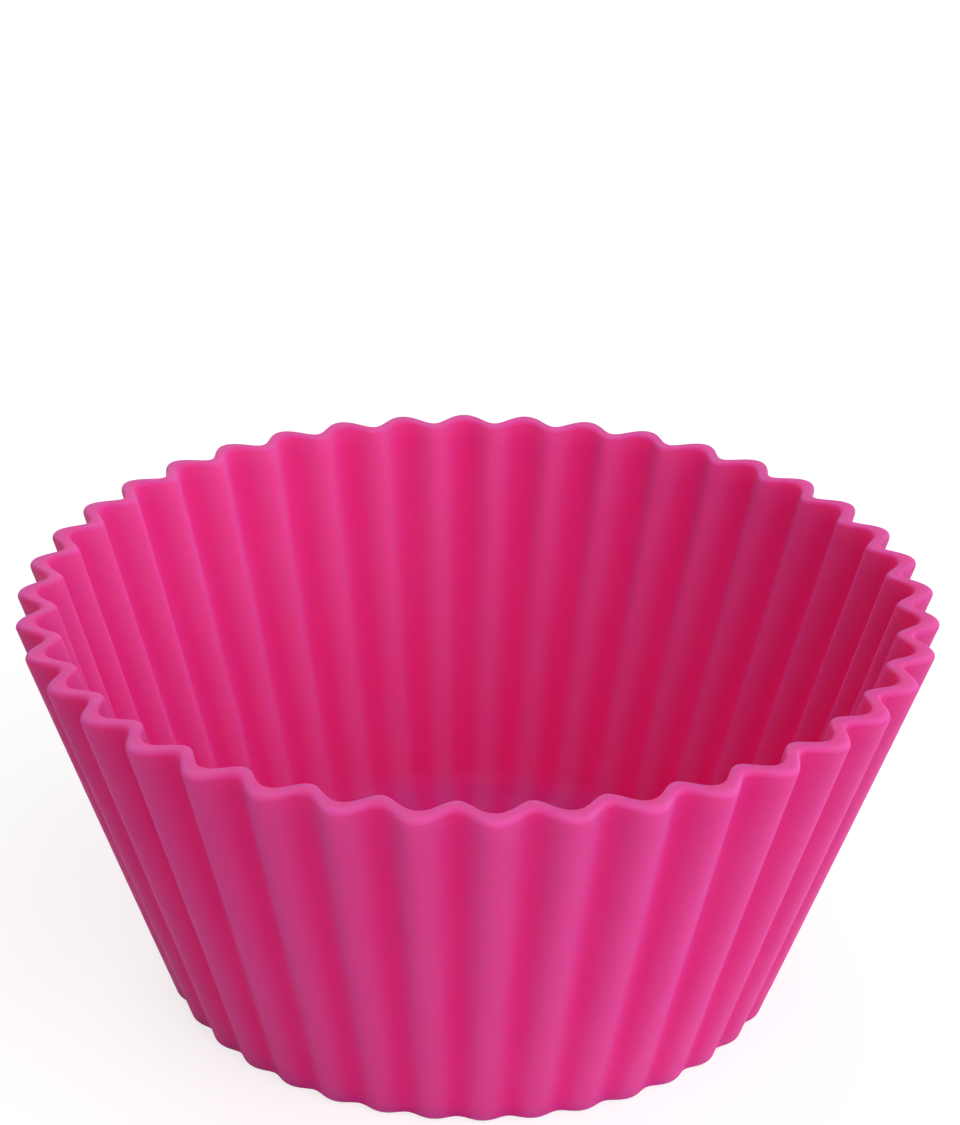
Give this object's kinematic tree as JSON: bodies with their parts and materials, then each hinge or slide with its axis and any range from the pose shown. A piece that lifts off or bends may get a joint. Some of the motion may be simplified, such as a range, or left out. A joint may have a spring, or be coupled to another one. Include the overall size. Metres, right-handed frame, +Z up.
{
  "type": "silicone baking cup",
  "caption": "Round baking cup moulded in thin flexible silicone, with a flat foot, a fluted wall that flares upwards and a plain rounded rim.",
  "frame": {"origin": "centre of the flat underside, on the surface that the cup stands on", "axes": "+Z up along the cup's own axis, out of its mouth; +X through the crest of a flute; +Y completes the right-handed frame"},
  "size_m": [0.07, 0.07, 0.0318],
  "materials": {
    "silicone": "satin"
  },
  "bodies": {
    "root": {"cup": "silicone"}
  },
  "joints": []
}
